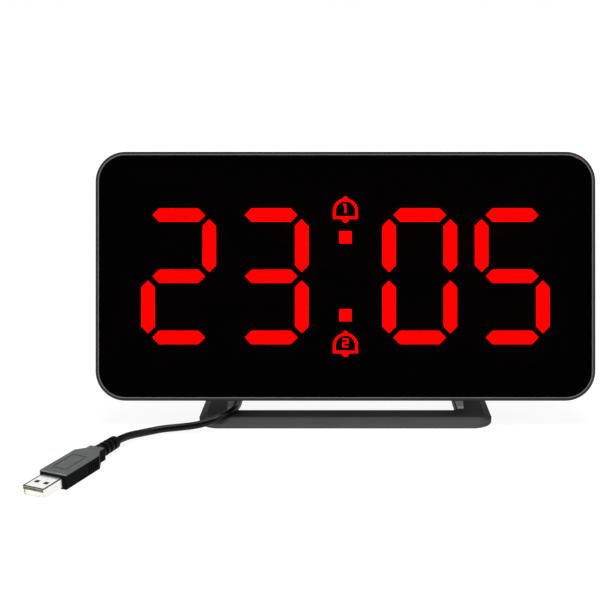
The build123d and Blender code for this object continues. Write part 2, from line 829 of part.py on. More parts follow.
rib_pitch = boot_length / (boot_rib_count + 1)
for i in range(boot_rib_count):
    along = rib_pitch * (i + 1)
    skin = boot_root_radius + (boot_tip_radius - boot_root_radius) * along / boot_length
    gap = Cylinder(boot_root_radius, boot_rib_gap) - Cylinder(skin - boot_rib_depth, boot_rib_gap)
    boot -= Pos(neck_end + along, 0, 0) * (Rot(0, 90, 0) * gap)
keep("plug_boot", plug_place * boot)
shell = extrude(plug_section(-shell_length, shell_width, shell_height), amount=shell_length)
inner_width = shell_width - 2 * shell_wall
inner_height = shell_height - 2 * shell_wall
shell -= extrude(plug_section(-shell_length, inner_width, inner_height), amount=shell_length)
for side in (-1, 1):
    window_cut = Box(shell_window, shell_window, 2 * shell_height)
    shell -= Pos(-shell_length + shell_window_set, side * shell_window_spread, 0) * window_cut
keep("plug_shell", plug_place * shell)
tongue_z = -inner_height / 2
tongue_length = shell_length - tongue_set
tongue = Box(tongue_length, inner_width, tongue_height, align=(Align.MAX, Align.CENTER, Align.MIN))
keep("plug_tongue", plug_place * Pos(0, 0, tongue_z) * tongue)
contacts = []
contact_low_end = (Align.MIN, Align.CENTER, Align.MIN)
for i in range(contact_count):
    contact = Box(contact_length, contact_width, contact_height, align=contact_low_end)
    across = (i - (contact_count - 1) / 2) * contact_pitch
    seat = Pos(-tongue_length + tongue_set, across, tongue_z + tongue_height)
    contacts.append(plug_place * seat * contact)
keep("plug_contacts", *contacts)

# Lead: from the gland's tip down beside the stand's ear, over the front bar, along the desk
heading = math.radians(plug_heading)
boot_tip = (
    plug_front[0] + boot_end * math.cos(heading),
    plug_front[1] + boot_end * math.sin(heading),
    plug_centre_z,
)
lead_stub = (
    boot_tip[0] + lead_stub_length * math.cos(heading),
    boot_tip[1] + lead_stub_length * math.sin(heading),
    plug_centre_z,
)
lead_route = [
    (gland_tip, hinge_y, hinge_z),
    (-29.0, hinge_y, hinge_z),
    (-39.2, 4.9, 22.6),
    (-48.8, 3.9, 16.4),
    (-55.8, -0.6, 10.0),
    (-59.4, -8.6, 7.1),
    (-60.0, -17.6, 6.55),
    (-62.0, -26.0, 6.65),
    (-66.3, -33.2, 6.5),
    (-72.0, -38.2, 5.4),
    (-80.0, -40.0, 3.7),
    (-89.5, -39.5, 2.35),
    (-98.5, -41.2, 2.15),
    (-106.3, -45.8, 2.15),
    lead_stub,
    boot_tip,
]


# Tangent radius at each corner of a route: a share of the shorter run over the tangent of half the turn
def route_radii(points):
    radii = []
    for before, here, after in zip(points, points[1:], points[2:]):
        run_in = Vector(*here) - Vector(*before)
        run_out = Vector(*after) - Vector(*here)
        turn = math.radians(run_in.get_angle(run_out))
        radii.append(lead_arc_share * min(run_in.length, run_out.length) / math.tan(turn / 2))
    return radii


lead_radii = route_radii(lead_route)
lead_path = FilletPolyline(*lead_route, radius=lead_radii)
lead = sweep(Plane(origin=lead_path @ 0, z_dir=lead_path % 0) * Circle(lead_radius), path=lead_path)
keep("usb_lead", lead)
section = math.pi * lead_radius ** 2
print("lead radii", [round(radius, 1) for radius in lead_radii])
lead_ratio = lead.volume / section / lead_path.length
print("lead length", round(lead_path.length, 1), "volume over section times length", round(lead_ratio, 4))

os.makedirs("parts", exist_ok=True)
for name, shape in parts.items():
    export_step(shape, f"parts/{name}.step")
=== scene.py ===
import bmesh
import bpy
import json
import math
from mathutils import Matrix, Vector


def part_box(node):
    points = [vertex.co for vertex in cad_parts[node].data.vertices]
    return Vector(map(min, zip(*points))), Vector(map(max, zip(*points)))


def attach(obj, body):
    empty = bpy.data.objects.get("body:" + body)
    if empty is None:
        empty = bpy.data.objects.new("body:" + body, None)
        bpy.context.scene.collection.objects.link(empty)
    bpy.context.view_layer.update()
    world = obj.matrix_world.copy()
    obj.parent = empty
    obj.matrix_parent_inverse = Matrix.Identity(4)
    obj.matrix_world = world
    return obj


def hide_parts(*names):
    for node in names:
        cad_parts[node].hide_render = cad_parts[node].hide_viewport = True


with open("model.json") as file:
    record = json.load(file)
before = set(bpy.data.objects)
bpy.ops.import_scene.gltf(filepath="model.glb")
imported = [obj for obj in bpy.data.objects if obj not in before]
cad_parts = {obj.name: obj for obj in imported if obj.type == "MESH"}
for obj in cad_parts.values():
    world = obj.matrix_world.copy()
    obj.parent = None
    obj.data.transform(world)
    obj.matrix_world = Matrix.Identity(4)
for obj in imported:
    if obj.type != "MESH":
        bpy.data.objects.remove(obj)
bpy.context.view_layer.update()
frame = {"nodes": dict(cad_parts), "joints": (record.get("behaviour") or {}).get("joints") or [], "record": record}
nodes = frame["nodes"]
joints = {joint["name"]: joint for joint in frame["joints"]}
mm = 0.001
print("frame loaded,", len(nodes), "nodes")

# directions of the leaning head, from the way its buttons travel
faceOut = Vector(joints["set_press"]["axis"]).normalized()
faceUp = faceOut.cross(Vector((1, 0, 0)))
headLow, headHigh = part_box("bezel_frame")


def nodeReach(name, direction):  # how far a node reaches along a direction
    return max(vertex.co.dot(direction) for vertex in nodes[name].data.vertices)


facePlane = nodeReach("bezel_frame", faceOut)
backPlane = nodeReach("battery_door", -faceOut)
faceBottom = -nodeReach("bezel_frame", -faceUp)
faceTop = nodeReach("bezel_frame", faceUp)

# camera, square to the leaning face as in the photograph
photo = {
    "size": 616,  # pixels each way
    "focal": 950,  # focal length in pixels
    "faceWidth": 500.9,  # the face across, in pixels
    "faceBottom": 401.0,  # row of the face's lower edge
    "middle": 345.45,  # column of the clock's middle
    "sensor": 36.0,  # mm
}


def placeCamera():
    pixelsPerMetre = photo["faceWidth"] / (headHigh.x - headLow.x)
    aimRise = faceBottom + (photo["faceBottom"] - photo["size"] / 2) / pixelsPerMetre
    distance = photo["focal"] / pixelsPerMetre
    data = bpy.data.cameras.new("camera")
    data.sensor_width = photo["sensor"]
    data.lens = photo["focal"] / photo["size"] * photo["sensor"]
    data.shift_x = (photo["size"] / 2 - photo["middle"]) / photo["size"]
    camera = bpy.data.objects.new("camera", data)
    camera.location = faceOut * (facePlane + distance) + faceUp * aimRise
    camera.rotation_euler = (-faceOut).to_track_quat("-Z", "Y").to_euler()
    bpy.context.scene.collection.objects.link(camera)
    bpy.context.scene.camera = camera


placeCamera()
print("camera placed")


def linear(hexColour):  # sRGB hex to linear RGBA
    channels = [int(hexColour[i:i + 2], 16) / 255 for i in (1, 3, 5)]
    return [c / 12.92 if c <= 0.04045 else ((c + 0.055) / 1.055) ** 2.4 for c in channels] + [1.0]


def addNode(tree, kind, settings=None, inputs=None):  # inputs are values, or (node, output) to link
    node = tree.nodes.new("ShaderNode" + kind)
    for name, value in (settings or {}).items():
        setattr(node, name, value)
    for name, value in (inputs or {}).items():
        if isinstance(value, tuple) and isinstance(value[0], bpy.types.Node):
            tree.links.new(value[0].outputs[value[1]], node.inputs[name])
        else:
            node.inputs[name].default_value = value
    return node


def newMaterial(name, **sockets):  # a material with its shader and object coordinates
    material = bpy.data.materials.new(name)
    material.use_nodes = True
    tree = material.node_tree
    shader = tree.nodes["Principled BSDF"]
    for socket, value in sockets.items():
        shader.inputs[socket.replace("_", " ")].default_value = value
    return material, tree, shader, addNode(tree, "TexCoord")


def perMetre(sizeMm):  # texture scale of a feature of that size
    return 1 / (sizeMm * mm)


# moulded plastics and rubbers: a tool-textured skin, cloudy in tone where the melt flowed
# grain and depth are in mm; the finest grains are drawn coarser than the real ones so that they show
plastics = {
    "mouldedAbsFrame": {  # matt dark grey
        "low": "#2a2a2b", "high": "#313132", "roughness": (0.50, 0.62), "specular": 0.05,
        "grain": 1.1, "depth": 0.030, "cloud": 22.0,
    },
    "mouldedAbsStand": {  # matt grey, a tone lighter than the frame
        "low": "#424243", "high": "#4c4c4d", "roughness": (0.58, 0.70), "specular": 0.05,
        "grain": 1.1, "depth": 0.030, "cloud": 18.0,
    },
    "sparkErodedAbs": {  # black back, coarser spark texture that scatters the light
        "low": "#222223", "high": "#2c2c2e", "roughness": (0.52, 0.66), "specular": 0.4,
        "grain": 1.5, "depth": 0.180, "cloud": 25.0,
    },
    "buttonAbs": {  # grey caps, worn smooth by fingers
        "low": "#4a4a4c", "high": "#565658", "roughness": (0.30, 0.42), "specular": 0.5,
        "grain": 0.6, "depth": 0.006, "cloud": 4.0,
    },
    "mattMaskAbs": {  # black light mask
        "low": "#050505", "high": "#080808", "roughness": (0.80, 0.92), "specular": 0.1,
        "grain": 0.8, "depth": 0.010, "cloud": 12.0,
    },
    "foamTape": {  # closed-cell foam, open pores
        "low": "#0c0c0c", "high": "#181818", "roughness": (0.88, 0.96), "specular": 0.1,
        "grain": 0.5, "depth": 0.060, "cloud": 6.0,
    },
    "mouldedEpoxy": {  # component bodies
        "low": "#161617", "high": "#1e1e20", "roughness": (0.45, 0.60), "specular": 0.4,
        "grain": 0.4, "depth": 0.012, "cloud": 3.0,
    },
    "whiteNylon": {  # connector bodies
        "low": "#d9d5c9", "high": "#e8e5da", "roughness": (0.40, 0.52), "specular": 0.5,
        "grain": 0.5, "depth": 0.006, "cloud": 4.0,
    },
    "padRubber": {  # matt feet
        "low": "#1b1b1b", "high": "#242424", "roughness": (0.78, 0.90), "specular": 0.2,
        "grain": 0.6, "depth": 0.030, "cloud": 4.0,
    },
    "pvcJacket": {  # extruded lead, glossy with a faint waver
        "low": "#060606", "high": "#0a0a0b", "roughness": (0.24, 0.30), "specular": 0.2,
        "grain": 2.6, "depth": 0.012, "cloud": 9.0,
    },
    "pvcMould": {  # plug mould, satin, near black; its top is painted grey, a painted sheen
        "low": "#0d0f0f", "high": "#141616", "roughness": (0.42, 0.54), "specular": 0.02,
        "grain": 0.9, "depth": 0.020, "cloud": 3.2,
    },
    "pvcBoot": {  # ribbed boots, black
        "low": "#0f0f10", "high": "#171718", "roughness": (0.36, 0.46), "specular": 0.08,
        "grain": 0.9, "depth": 0.012, "cloud": 4.0,
    },
    "padPrint": {  # pale printed marks
        "low": "#b4b4b2", "high": "#c6c6c4", "roughness": (0.45, 0.58), "specular": 0.4,
        "grain": 0.4, "depth": 0.004, "cloud": 2.0,
    },
}
plasticIor = 1.5
grainSpan = (0.3, 0.7)  # the part of the noise that most of the grain lies in


def mouldedPlastic(name):
    spec = plastics[name]
    material, tree, shader, coords = newMaterial(
        name, IOR=plasticIor, Specular_IOR_Level=spec["specular"])
    cloud = addNode(tree, "TexNoise", None, {
        "Vector": (coords, "Object"), "Scale": perMetre(spec["cloud"]), "Detail": 3.0,
    })
    tone = addNode(tree, "Mix", {"data_type": "RGBA"}, {
        0: (cloud, "Fac"), 6: linear(spec["low"]), 7: linear(spec["high"]),
    })
    grain = addNode(tree, "TexNoise", None, {
        "Vector": (coords, "Object"), "Scale": perMetre(spec["grain"]), "Detail": 2.0,
    })
    gloss = addNode(tree, "MapRange", None, {
        "Value": (grain, "Fac"), "From Min": grainSpan[0], "From Max": grainSpan[1],
        "To Min": spec["roughness"][0], "To Max": spec["roughness"][1],
    })
    bump = addNode(tree, "Bump", None, {
        "Height": (grain, "Fac"), "Distance": spec["depth"] * mm, "Strength": 1.0,
    })
    tree.links.new(tone.outputs[2], shader.inputs["Base Color"])
    tree.links.new(gloss.outputs[0], shader.inputs["Roughness"])
    tree.links.new(bump.outputs[0], shader.inputs["Normal"])
    return material


finish = {name: mouldedPlastic(name) for name in plastics}

# painted light: a paler colour painted above a given height, on the stand's ears to stand in for light they lack
# in the head's shade, and on the plug's top as a painted sheen
paintedLight = {  # heights above the desk and speck size in mm, and how much the specks show
    "mouldedAbsStand": {"from": 4.7, "to": 5.2, "colour": "#8a8a8b", "speck": 1.6, "mottle": 0.5},
    "pvcMould": {"from": 7.0, "to": 7.35, "colour": "#7a807e", "speck": 1.6, "mottle": 0.5},
}


# paints the paler colour, flecked with specks, above the given height: painted light
def paintLightAbove(name):
    spec = paintedLight[name]
    tree = finish[name].node_tree
    shader = tree.nodes["Principled BSDF"]
    tone = shader.inputs["Base Color"].links[0].from_node
    coords = addNode(tree, "TexCoord")
    place = addNode(tree, "SeparateXYZ", None, {0: (coords, "Object")})
    share = addNode(tree, "MapRange", None, {
        "Value": (place, "Z"), "From Min": spec["from"] * mm, "From Max": spec["to"] * mm,
    })
    speck = addNode(tree, "TexNoise", None, {
        "Vector": (coords, "Object"), "Scale": perMetre(spec["speck"]), "Detail": 3.0,
    })
    pale = addNode(tree, "Mix", {"data_type": "RGBA", "blend_type": "MULTIPLY"}, {
        0: spec["mottle"], 6: linear(spec["colour"]), 7: (speck, "Color"),
    })
    both = addNode(tree, "Mix", {"data_type": "RGBA"}, {0: (share, "Result"), 6: (tone, 2), 7: (pale, 2)})
    tree.links.new(both.outputs[2], shader.inputs["Base Color"])


for name in paintedLight:
    paintLightAbove(name)

# painted highlight: a thin pale line is painted into the frame's colour round the window's inner edge
windowHighlight = {  # mm
    "colour": "#626264",
    "rim": 2.0,  # the frame's width round the window
    "corner": 14.4,  # the window's corner radius
    "width": 0.25,  # the pale line
    "fade": 0.35,
}


# paints the highlight line, by distance from the window's rounded outline
def paintWindowHighlight():
    tree = finish["mouldedAbsFrame"].node_tree
    shader = tree.nodes["Principled BSDF"]
    tone = shader.inputs["Base Color"].links[0].from_node
    coords = addNode(tree, "TexCoord")
    middle = (faceBottom + faceTop) / 2
    half = Vector((headHigh.x, (faceTop - faceBottom) / 2, 0))
    corner = windowHighlight["corner"] * mm
    across = addNode(tree, "VectorMath", {"operation": "DOT_PRODUCT"}, {0: (coords, "Object"), 1: (1, 0, 0)})
    rise = addNode(tree, "VectorMath", {"operation": "DOT_PRODUCT"}, {0: (coords, "Object"), 1: faceUp})
    offset = addNode(tree, "Math", {"operation": "SUBTRACT"}, {0: (rise, "Value"), 1: middle})
    flat = addNode(tree, "CombineXYZ", None, {"X": (across, "Value"), "Y": (offset, 0)})
    folded = addNode(tree, "VectorMath", {"operation": "ABSOLUTE"}, {0: (flat, 0)})
    straight = half - Vector((1, 1, 0)) * (windowHighlight["rim"] * mm + corner)
    past = addNode(tree, "VectorMath", {"operation": "SUBTRACT"}, {0: (folded, 0), 1: straight})
    outside = addNode(tree, "VectorMath", {"operation": "MAXIMUM"}, {0: (past, 0), 1: (0, 0, 0)})
    reach = addNode(tree, "VectorMath", {"operation": "LENGTH"}, {0: (outside, 0)})
    edge = corner + windowHighlight["width"] * mm
    share = addNode(tree, "MapRange", None, {
        "Value": (reach, "Value"), "From Min": edge + windowHighlight["fade"] * mm, "From Max": edge,
    })
    pale = addNode(tree, "Mix", {"data_type": "RGBA"}, {
        0: (share, "Result"), 6: (tone, 2), 7: linear(windowHighlight["colour"]),
    })
    tree.links.new(pale.outputs[2], shader.inputs["Base Color"])


paintWindowHighlight()

# smoked acrylic window: polished, passes a little red and almost nothing else
acrylicIor = 1.49
smoke = {
    "tints": ("#661010", "#5e0c0c"),
    "roughness": 0.012,
    "waver": 40.0,  # mm from one faint wave of the sheet to the next
    "depth": 0.002,  # mm
    "bump": 0.3,
}


def smokedAcrylic():
    material, tree, shader, coords = newMaterial(
        "smokedAcrylic", IOR=acrylicIor, Roughness=smoke["roughness"], Transmission_Weight=1.0)
    waver = addNode(tree, "TexNoise", None, {
        "Vector": (coords, "Object"), "Scale": perMetre(smoke["waver"]), "Detail": 1.0,
    })
    tint = addNode(tree, "Mix", {"data_type": "RGBA"}, {
        0: (waver, "Fac"), 6: linear(smoke["tints"][0]), 7: linear(smoke["tints"][1]),
    })
    bump = addNode(tree, "Bump", None, {
        "Height": (waver, "Fac"), "Distance": smoke["depth"] * mm, "Strength": smoke["bump"],
    })
    tree.links.new(tint.outputs[2], shader.inputs["Base Color"])
    tree.links.new(bump.outputs[0], shader.inputs["Normal"])
    return material


finish["smokedAcrylic"] = smokedAcrylic()

# light guides: milky red acrylic, lit from behind or dark
guides = {
    "litGuide": {"base": "#3a0000", "glow": ("#ff0000", "#fb0000"), "strength": 7.5},
    "darkGuide": {"base": "#050202"},
}
milk = {"deep": "#060101", "roughness": 0.5, "specular": 0.05, "haze": 5.0}  # haze in mm


def lightGuide(name):
    spec = guides[name]
    material, tree, shader, coords = newMaterial(
        name, IOR=acrylicIor, Roughness=milk["roughness"], Specular_IOR_Level=milk["specular"])
    haze = addNode(tree, "TexNoise", None, {
        "Vector": (coords, "Object"), "Scale": perMetre(milk["haze"]), "Detail": 2.0,
    })
    base = addNode(tree, "Mix", {"data_type": "RGBA"}, {
        0: (haze, "Fac"), 6: linear(spec["base"]), 7: linear(milk["deep"]),
    })
    tree.links.new(base.outputs[2], shader.inputs["Base Color"])
    if "glow" in spec:
        glow = addNode(tree, "Mix", {"data_type": "RGBA"}, {
            0: (haze, "Fac"), 6: linear(spec["glow"][0]), 7: linear(spec["glow"][1]),
        })
        tree.links.new(glow.outputs[2], shader.inputs["Emission Color"])
        shader.inputs["Emission Strength"].default_value = spec["strength"]
    return material


for guide in guides:
    finish[guide] = lightGuide(guide)

# metals: plated, cloudy where the plating varies; grain in mm
metals = {
    "zincPlatedSteel": {"low": "#9a9a98", "high": "#b8b7b2", "roughness": (0.28, 0.42), "grain": 1.2},
    "springSteel": {"low": "#a5a6a8", "high": "#bcbdbf", "roughness": (0.22, 0.34), "grain": 0.8},
    "nickelPlate": {"low": "#eceae4", "high": "#fbfaf6", "roughness": (0.14, 0.24), "grain": 2.2},
    "goldPlate": {"low": "#e2cf92", "high": "#f0e2b4", "roughness": (0.20, 0.30), "grain": 0.6},
}


def platedMetal(name):
    spec = metals[name]
    material, tree, shader, coords = newMaterial(name, Metallic=1.0)
    cloud = addNode(tree, "TexNoise", None, {
        "Vector": (coords, "Object"), "Scale": perMetre(spec["grain"]), "Detail": 4.0,
    })
    tone = addNode(tree, "Mix", {"data_type": "RGBA"}, {
        0: (cloud, "Fac"), 6: linear(spec["low"]), 7: linear(spec["high"]),
    })
    gloss = addNode(tree, "MapRange", None, {
        "Value": (cloud, "Fac"), "To Min": spec["roughness"][0], "To Max": spec["roughness"][1],
    })
    tree.links.new(tone.outputs[2], shader.inputs["Base Color"])
    tree.links.new(gloss.outputs[0], shader.inputs["Roughness"])
    return material


for metal in metals:
    finish[metal] = platedMetal(metal)

# the plug's shell: nickel with painted shade, dark lines painted on its top along the nose and side edges
plugMount = next(mount for mount in frame["record"]["mounts"] if mount["name"] == "usb_plug")
nose = Vector(plugMount["pos_m"])
noseOut = Vector(plugMount["axis"])
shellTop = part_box("plug_shell")[1].z
shellEdgeShade = {  # mm
    "colour": "#12100f",
    "halfWidth": 6.0,  # of the shell
    "line": (1.0, 0.6),  # where a line starts and is full, from the edge
    "below": (0.3, 0.15),  # the same, down from the shell's top
}


# paints the shade lines into the nickel's colour
def paintShellEdgeShade():
    material = platedMetal("nickelPlate")
    material.name = "nickelShell"
    tree = material.node_tree
    shader = tree.nodes["Principled BSDF"]
    tone = shader.inputs["Base Color"].links[0].from_node
    coords = addNode(tree, "TexCoord")
    toNose = addNode(tree, "VectorMath", {"operation": "SUBTRACT"}, {0: (coords, "Object"), 1: nose})
    edges = []
    for direction, limit in ((noseOut, 0.0), (noseOut.cross(Vector((0, 0, 1))), shellEdgeShade["halfWidth"] * mm)):
        along = addNode(tree, "VectorMath", {"operation": "DOT_PRODUCT"}, {0: (toNose, 0), 1: direction})
        reach = addNode(tree, "Math", {"operation": "ABSOLUTE"}, {0: (along, "Value")}) if limit else along
        edges.append(addNode(tree, "MapRange", None, {
            "Value": (reach, "Value"), "From Min": limit - shellEdgeShade["line"][0] * mm,
            "From Max": limit - shellEdgeShade["line"][1] * mm,
        }))
    edge = addNode(tree, "Math", {"operation": "MAXIMUM"}, {0: (edges[0], 0), 1: (edges[1], 0)})
    height = addNode(tree, "SeparateXYZ", None, {0: (coords, "Object")})
    upper = addNode(tree, "MapRange", None, {
        "Value": (height, "Z"), "From Min": shellTop - shellEdgeShade["below"][0] * mm,
        "From Max": shellTop - shellEdgeShade["below"][1] * mm,
    })
    line = addNode(tree, "Math", {"operation": "MULTIPLY"}, {0: (edge, 0), 1: (upper, 0)})
    lined = addNode(tree, "Mix", {"data_type": "RGBA"}, {
        0: (line, 0), 6: (tone, 2), 7: linear(shellEdgeShade["colour"]),
    })
    tree.links.new(lined.outputs[2], shader.inputs["Base Color"])
    return material


finish["nickelShell"] = paintShellEdgeShade()

# circuit board: green solder mask with paler lines where copper runs under it
board = {
    "mask": ("#0d4a26", "#0f5029"),
    "copper": "#1d6b39",
    "roughness": 0.3,
    "cell": 9.0,  # mm between tracks
    "track": 0.06,  # share of a cell
    "stagger": (0.35, 1.6),
    "depth": 0.03,  # mm
}


def solderMask():
    material, tree, shader, coords = newMaterial(
        "solderMaskBoard", IOR=plasticIor, Roughness=board["roughness"])
    offset, squash = board["stagger"]
    tracks = addNode(tree, "TexBrick", {"offset": offset, "squash": squash}, {
        "Vector": (coords, "Object"), "Scale": perMetre(board["cell"]), "Mortar Size": board["track"],
        "Color1": linear(board["mask"][0]), "Color2": linear(board["mask"][1]),
        "Mortar": linear(board["copper"]),
    })
    bump = addNode(tree, "Bump", None, {
        "Height": (tracks, "Fac"), "Distance": board["depth"] * mm, "Strength": 1.0,
    })
    tree.links.new(tracks.outputs["Color"], shader.inputs["Base Color"])
    tree.links.new(bump.outputs[0], shader.inputs["Normal"])
    return material


finish["solderMaskBoard"] = solderMask()

# light source packages: white body with a yellow lens
ledPackage = {"body": "#e9e4d6", "lens": "#e0b84a", "roughness": 0.4, "spot": 1.1}  # spot in mm


def ledBody():
    material, tree, shader, coords = newMaterial(
        "ledPackage", IOR=plasticIor, Roughness=ledPackage["roughness"])
    spots = addNode(tree, "TexVoronoi", None, {
        "Vector": (coords, "Object"), "Scale": perMetre(ledPackage["spot"]),
    })
    tone = addNode(tree, "Mix", {"data_type": "RGBA"}, {
        0: (spots, "Distance"), 6: linear(ledPackage["lens"]), 7: linear(ledPackage["body"]),
    })
    tree.links.new(tone.outputs[2], shader.inputs["Base Color"])
    return material


finish["ledPackage"] = ledBody()
print("finishes made:", len(finish))

# which finish each piece of the frame takes
digits = ["hour_tens", "hour_units", "minute_tens", "minute_units"]
finishOf = {
    "bezel_frame": "mouldedAbsFrame", "front_lens": "smokedAcrylic", "lens_tape": "foamTape",
    "display_mask": "mattMaskAbs", "led_board": "solderMaskBoard", "main_board": "solderMaskBoard",
    "segment_leds": "ledPackage", "led_board_screws": "zincPlatedSteel",
    "main_board_screws": "zincPlatedSteel", "case_screws": "zincPlatedSteel",
    "hinge_pins": "zincPlatedSteel", "friction_washers": "springSteel", "time_crystal": "springSteel",
    "backup_cell": "nickelPlate", "board_link": "mouldedEpoxy", "clock_chip": "mouldedEpoxy",
    "alarm_buzzer": "mouldedEpoxy", "tact_switches": "mouldedEpoxy", "cell_holder": "mouldedEpoxy",
    "lead_socket": "whiteNylon", "rear_cover": "sparkErodedAbs", "battery_door": "sparkErodedAbs",
    "set_button": "buttonAbs", "up_button": "buttonAbs", "down_button": "buttonAbs",
    "alarm_button": "buttonAbs", "stand_base": "mouldedAbsStand", "foot_pads": "padRubber",
    "lead_gland": "pvcBoot", "lead_tail": "pvcJacket", "usb_lead": "pvcJacket",
    "plug_overmould": "pvcMould", "plug_boot": "pvcBoot", "plug_shell": "nickelShell",
    "plug_tongue": "whiteNylon", "plug_contacts": "goldPlate",
    "colon_dots": "litGuide", "alarm_1_icon": "litGuide", "alarm_2_icon": "litGuide",
}
for digit in digits:
    finishOf[digit + "_lit"] = "litGuide"
    finishOf[digit + "_unlit"] = "darkGuide"
for name, node in nodes.items():
    node.data.materials.clear()
    node.data.materials.append(finish[finishOf[name]])
print("frame pieces finished")

# lead: the route from the gland on the hinge axis to the plug's boot, in millimetres
lead = {
    "diameter": 4.0,
    "length": 142.0,
    "steps": 12,  # along each span
    "sides": 8,  # round each quarter
    "route": [
        (-19.0, 4.12, 25.5), (-29.0, 4.12, 25.5), (-39.2, 4.9, 22.6), (-48.8, 3.9, 16.4),
        (-57.2, -0.6, 10.0), (-60.4, -9.0, 7.1), (-60.2, -17.6, 6.55), (-62.2, -26.0, 6.65),
        (-66.5, -33.2, 6.5), (-72.0, -38.2, 5.4), (-80.0, -40.0, 3.7), (-89.5, -39.5, 2.35),
        (-98.5, -41.2, 2.15), (-106.3, -45.8, 2.15), (-115.53, -56.36, 4.0), (-118.58, -63.76, 4.0),
    ],
}


def layLead():
    curve = bpy.data.curves.new("usbLead", "CURVE")
    curve.dimensions = "3D"
    curve.bevel_depth = lead["diameter"] / 2 * mm
    curve.bevel_resolution = lead["sides"]
    curve.resolution_u = lead["steps"]
    curve.use_fill_caps = True
    spline = curve.splines.new("NURBS")
    spline.points.add(len(lead["route"]) - 1)
    for point, place in zip(spline.points, lead["route"]):
        point.co = (*(Vector(place) * mm), 1.0)
    spline.order_u = 3
    spline.use_endpoint_u = True
    curve.materials.append(finish["pvcJacket"])
    piece = bpy.data.objects.new("usbLead", curve)
    bpy.context.scene.collection.objects.link(piece)
    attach(piece, "stand")
    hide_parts("usb_lead")


layLead()
print("lead laid")

# printed marks on the back, above the buttons, and an arrow on the battery door; mm
marks = {
    "rise": 9.5,  # above the button's middle
    "size": 2.1,  # half height of a mark
    "stroke": 0.5,
    "height": 0.12,
    "sink": 0.05,  # how far a mark is set into the plastic
    "facets": 32,  # of a round
}


def backPlace(node, rise):  # a frame on the back face by a node: x right seen from behind, z outwards
    low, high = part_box(node)
    middle = (low + high) / 2
    height = middle.dot(faceUp) + rise * mm
    place = Vector((middle.x, 0, 0)) + faceUp * height - faceOut * (backPlane - marks["sink"] * mm)
    axes = Matrix((Vector((-1, 0, 0)), faceUp, -faceOut)).transposed()
    return Matrix.Translation(place) @ axes.to_4x4() @ Matrix.Scale(mm, 4)


def addDisc(bm, radius, count, turn=0, shift=(0, 0, 0)):  # a flat disc or a regular polygon
    spin = Matrix.Translation(shift) @ Matrix.Rotation(turn, 4, "Z")
    made = bmesh.ops.create_circle(bm, cap_ends=True, segments=count, radius=radius, matrix=spin)
    return made["verts"]


def addBar(bm, wide, tall, shift):  # a flat bar
    place = Matrix.Translation(shift) @ Matrix.Diagonal((wide, tall, 1, 1))
    bmesh.ops.create_grid(bm, x_segments=1, y_segments=1, size=0.5, matrix=place)


def addRing(bm, outer, inner, count):  # a flat ring
    edges = set()
    for radius in (outer, inner):
        loop = bmesh.ops.create_circle(bm, segments=count, radius=radius)["verts"]
        edges |= {edge for vertex in loop for edge in vertex.link_edges}
    bmesh.ops.bridge_loops(bm, edges=list(edges))


hands = {"minute": 0.62, "hour": 0.45}  # shares of a mark's half height


def drawClock(bm):  # setting the time
    size, stroke = marks["size"], marks["stroke"]
    minute, hour = size * hands["minute"], size * hands["hour"]
    addRing(bm, size, size - stroke, marks["facets"])
    addBar(bm, stroke, minute, (0, (minute - stroke) / 2, 0))
    addBar(bm, hour, stroke, ((hour + stroke) / 2, -stroke / 2, 0))


def drawUp(bm):
    addDisc(bm, marks["size"], 3)


def drawDown(bm):
    addDisc(bm, marks["size"], 3, math.pi)


bell = {  # shares of a mark's half height, from its middle
    "dome": 0.72,  # radius
    "shoulder": 0.2,  # height of the dome's foot
    "waist": (-0.11, 0.6),  # middle and height
    "brim": -0.45,  # its upper side
    "clapper": -0.95,
    "clapperStrokes": 0.9,  # its radius in strokes
}


def drawBell(bm):  # the alarms
    size, stroke, facets = marks["size"], marks["stroke"], marks["facets"]
    radius = size * bell["dome"]
    foot = Vector((0, size * bell["shoulder"], 0))
    dome = addDisc(bm, radius, facets, shift=foot)
    domeParts = {part for vertex in dome for part in (vertex, *vertex.link_edges, *vertex.link_faces)}
    cut = bmesh.ops.bisect_plane(
        bm, geom=list(domeParts), plane_co=foot, plane_no=(0, -1, 0), clear_outer=True)
    bmesh.ops.contextual_create(bm, geom=[g for g in cut["geom_cut"] if isinstance(g, bmesh.types.BMEdge)])
    waistMiddle, waistHeight = bell["waist"]
    addBar(bm, 2 * radius, size * waistHeight, (0, size * waistMiddle, 0))
    addBar(bm, 2 * size, stroke, (0, size * bell["brim"] - stroke / 2, 0))
    addDisc(bm, stroke * bell["clapperStrokes"], facets // 2, shift=(0, size * bell["clapper"], 0))


def addMark(name, node, body, rise, draw):
    bm = bmesh.new()
    draw(bm)
    faces = bmesh.ops.extrude_face_region(bm, geom=list(bm.faces))
    raised = [g for g in faces["geom"] if isinstance(g, bmesh.types.BMVert)]
    bmesh.ops.translate(bm, vec=(0, 0, marks["height"] + marks["sink"]), verts=raised)
    bmesh.ops.transform(bm, matrix=backPlace(node, rise), verts=list(bm.verts))
    bmesh.ops.recalc_face_normals(bm, faces=list(bm.faces))
    mesh = bpy.data.meshes.new(name)
    bm.to_mesh(mesh)
    bm.free()
    mesh.materials.append(finish["padPrint"])
    piece = bpy.data.objects.new(name, mesh)
    bpy.context.scene.collection.objects.link(piece)
    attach(piece, body)


backMarks = {  # node that it goes by, body that it rides on, rise, drawing
    "setMark": ("set_button", "head", marks["rise"], drawClock),
    "upMark": ("up_button", "head", marks["rise"], drawUp),
    "downMark": ("down_button", "head", marks["rise"], drawDown),
    "alarmMark": ("alarm_button", "head", marks["rise"], drawBell),
    "doorMark": ("battery_door", "battery_door", 0, drawUp),
}
for name, mark in backMarks.items():
    addMark(name, *mark)
print("back marked")

